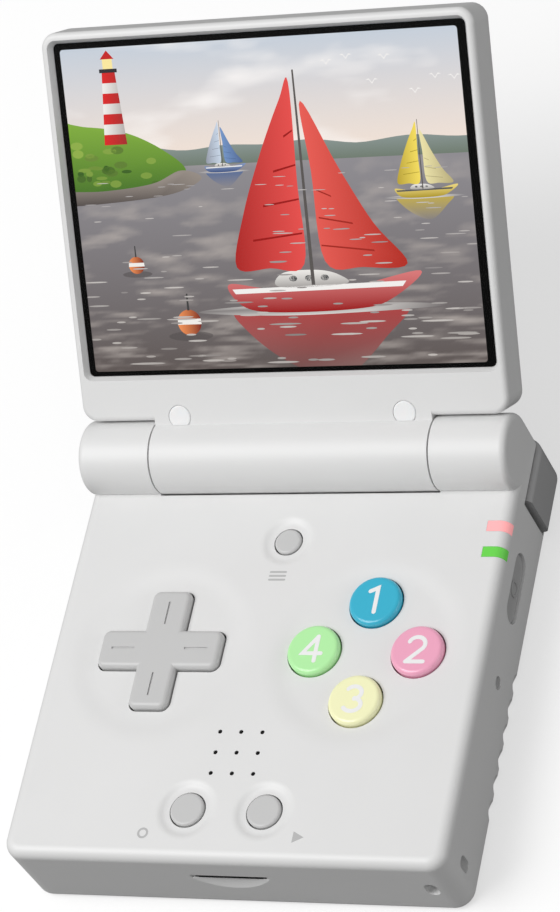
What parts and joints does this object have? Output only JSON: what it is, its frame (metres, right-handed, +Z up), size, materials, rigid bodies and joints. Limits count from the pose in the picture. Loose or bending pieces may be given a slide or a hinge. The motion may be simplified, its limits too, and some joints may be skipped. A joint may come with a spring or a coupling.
{
  "type": "handheld game console",
  "caption": "Clamshell handheld game console with its lid open on a barrel hinge: a screen in the lid, a cross pad and round buttons on the base, shoulder buttons behind.",
  "frame": {"origin": "centre of the base's flat underside, on the table", "axes": "+X to the player's right, +Y to the hinge side, +Z up from the table"},
  "size_m": [0.087, 0.1426, 0.0773],
  "materials": {
    "shell": "satin moulded plastic",
    "bezel": "satin moulded plastic",
    "key_grey": "satin",
    "key_dark": "satin",
    "key_pink": "semi-gloss",
    "key_blue": "semi-gloss",
    "key_green": "semi-gloss",
    "key_yellow": "semi-gloss",
    "lamp_pink": "clear tinted",
    "lamp_green": "clear tinted",
    "board": "solder mask",
    "steel": "plain",
    "dark_steel": "blackened",
    "pouch": "foil pouch",
    "black_plastic": "satin",
    "silicone": "matt",
    "foam": "foam",
    "bumper": "matt",
    "bush": "natural acetal",
    "ribbon": "film",
    "lens": "polished",
    "lcd": "glossy"
  },
  "bodies": {
    "base": {"base_top_shell": "shell", "base_bottom_shell": "shell", "case_screws": "steel", "main_board": "board", "board_screws": "steel", "shield_can": "steel", "battery": "pouch", "speaker": "black_plastic", "speaker_gasket": "foam", "dpad_membrane": "silicone", "action_membrane": "silicone", "start_select_membrane": "silicone", "menu_membrane": "silicone", "charge_light_pipe": "lamp_pink", "power_light_pipe": "lamp_green", "port_board": "board", "usb_c_port": "steel", "video_port": "steel", "headphone_jack": "black_plastic", "card_socket": "dark_steel", "trigger_board_left": "board", "trigger_board_right": "board", "side_switches": "steel", "hinge_pin_right": "steel", "hinge_sleeve_left": "steel", "display_ribbon_base": "ribbon"},
    "lid": {"lid_front_bezel": "bezel", "lid_back_cover": "shell", "screen_lens": "lens", "lcd_panel": "lcd", "lcd_gasket": "foam", "lid_bumpers": "bumper", "lid_screws": "steel", "lid_magnet": "steel", "hinge_clutch": "dark_steel", "hinge_bush_left": "bush", "display_ribbon_lid": "ribbon"},
    "pad_rocker": {"d_pad_pivot": "steel"},
    "pad": {"d_pad": "key_grey"},
    "key_a": {"button_a": "key_pink"},
    "key_b": {"button_b": "key_yellow"},
    "key_x": {"button_x": "key_blue"},
    "key_y": {"button_y": "key_green"},
    "key_menu": {"menu_button": "key_grey"},
    "key_start": {"start_button": "key_grey"},
    "key_select": {"select_button": "key_grey"},
    "key_l1": {"shoulder_l1": "key_dark"},
    "key_l2": {"shoulder_l2": "key_dark"},
    "key_r1": {"shoulder_r1": "key_dark"},
    "key_r2": {"shoulder_r2": "key_dark"},
    "key_power": {"power_button": "key_grey"},
    "key_reset": {"reset_button": "key_dark"},
    "key_volume": {"volume_rocker": "key_grey"}
  },
  "joints": [
    {"name": "lid_hinge", "type": "hinge", "parent": "base", "child": "lid", "pos_m": [0, 0.037, 0.0201], "axis": [-1, 0, 0], "range_deg": [-135.6, 29]},
    {"name": "pad_roll", "type": "hinge", "parent": "base", "child": "pad_rocker", "pos_m": [-0.0202, -0.0025, 0.01345], "axis": [0, 1, 0], "range_deg": [-1.8, 1.8], "stiffness_Nm_per_rad": 0.05},
    {"name": "pad_pitch", "type": "hinge", "parent": "pad_rocker", "child": "pad", "pos_m": [-0.0202, -0.0025, 0.01345], "axis": [1, 0, 0], "range_deg": [-1.8, 1.8], "stiffness_Nm_per_rad": 0.05},
    {"name": "key_a_press", "type": "slide", "parent": "base", "child": "key_a", "axis": [0, 0, -1], "range_m": [0, 0.0006], "stiffness_N_per_m": 1000},
    {"name": "key_b_press", "type": "slide", "parent": "base", "child": "key_b", "axis": [0, 0, -1], "range_m": [0, 0.0006], "stiffness_N_per_m": 1000},
    {"name": "key_x_press", "type": "slide", "parent": "base", "child": "key_x", "axis": [0, 0, -1], "range_m": [0, 0.0006], "stiffness_N_per_m": 1000},
    {"name": "key_y_press", "type": "slide", "parent": "base", "child": "key_y", "axis": [0, 0, -1], "range_m": [0, 0.0006], "stiffness_N_per_m": 1000},
    {"name": "key_menu_press", "type": "slide", "parent": "base", "child": "key_menu", "axis": [0, 0, -1], "range_m": [0, 0.0006], "stiffness_N_per_m": 1000},
    {"name": "key_start_press", "type": "slide", "parent": "base", "child": "key_start", "axis": [0, 0, -1], "range_m": [0, 0.0006], "stiffness_N_per_m": 1000},
    {"name": "key_select_press", "type": "slide", "parent": "base", "child": "key_select", "axis": [0, 0, -1], "range_m": [0, 0.0006], "stiffness_N_per_m": 1000},
    {"name": "key_l1_press", "type": "slide", "parent": "base", "child": "key_l1", "axis": [0, -1, 0], "range_m": [0, 0.0006], "stiffness_N_per_m": 800},
    {"name": "key_l2_press", "type": "slide", "parent": "base", "child": "key_l2", "axis": [0, -1, 0], "range_m": [0, 0.0006], "stiffness_N_per_m": 800},
    {"name": "key_r1_press", "type": "slide", "parent": "base", "child": "key_r1", "axis": [0, -1, 0], "range_m": [0, 0.0006], "stiffness_N_per_m": 800},
    {"name": "key_r2_press", "type": "slide", "parent": "base", "child": "key_r2", "axis": [0, -1, 0], "range_m": [0, 0.0006], "stiffness_N_per_m": 800},
    {"name": "key_power_press", "type": "slide", "parent": "base", "child": "key_power", "axis": [-1, 0, 0], "range_m": [0, 0.0004], "stiffness_N_per_m": 1000},
    {"name": "key_reset_press", "type": "slide", "parent": "base", "child": "key_reset", "axis": [-1, 0, 0], "range_m": [0, 0.0003], "stiffness_N_per_m": 1000},
    {"name": "volume_rock", "type": "hinge", "parent": "base", "child": "key_volume", "pos_m": [-0.0412, 0.0151, 0.0089], "axis": [0, 0, 1], "range_deg": [-2.5, 2.5], "stiffness_Nm_per_rad": 0.02}
  ]
}
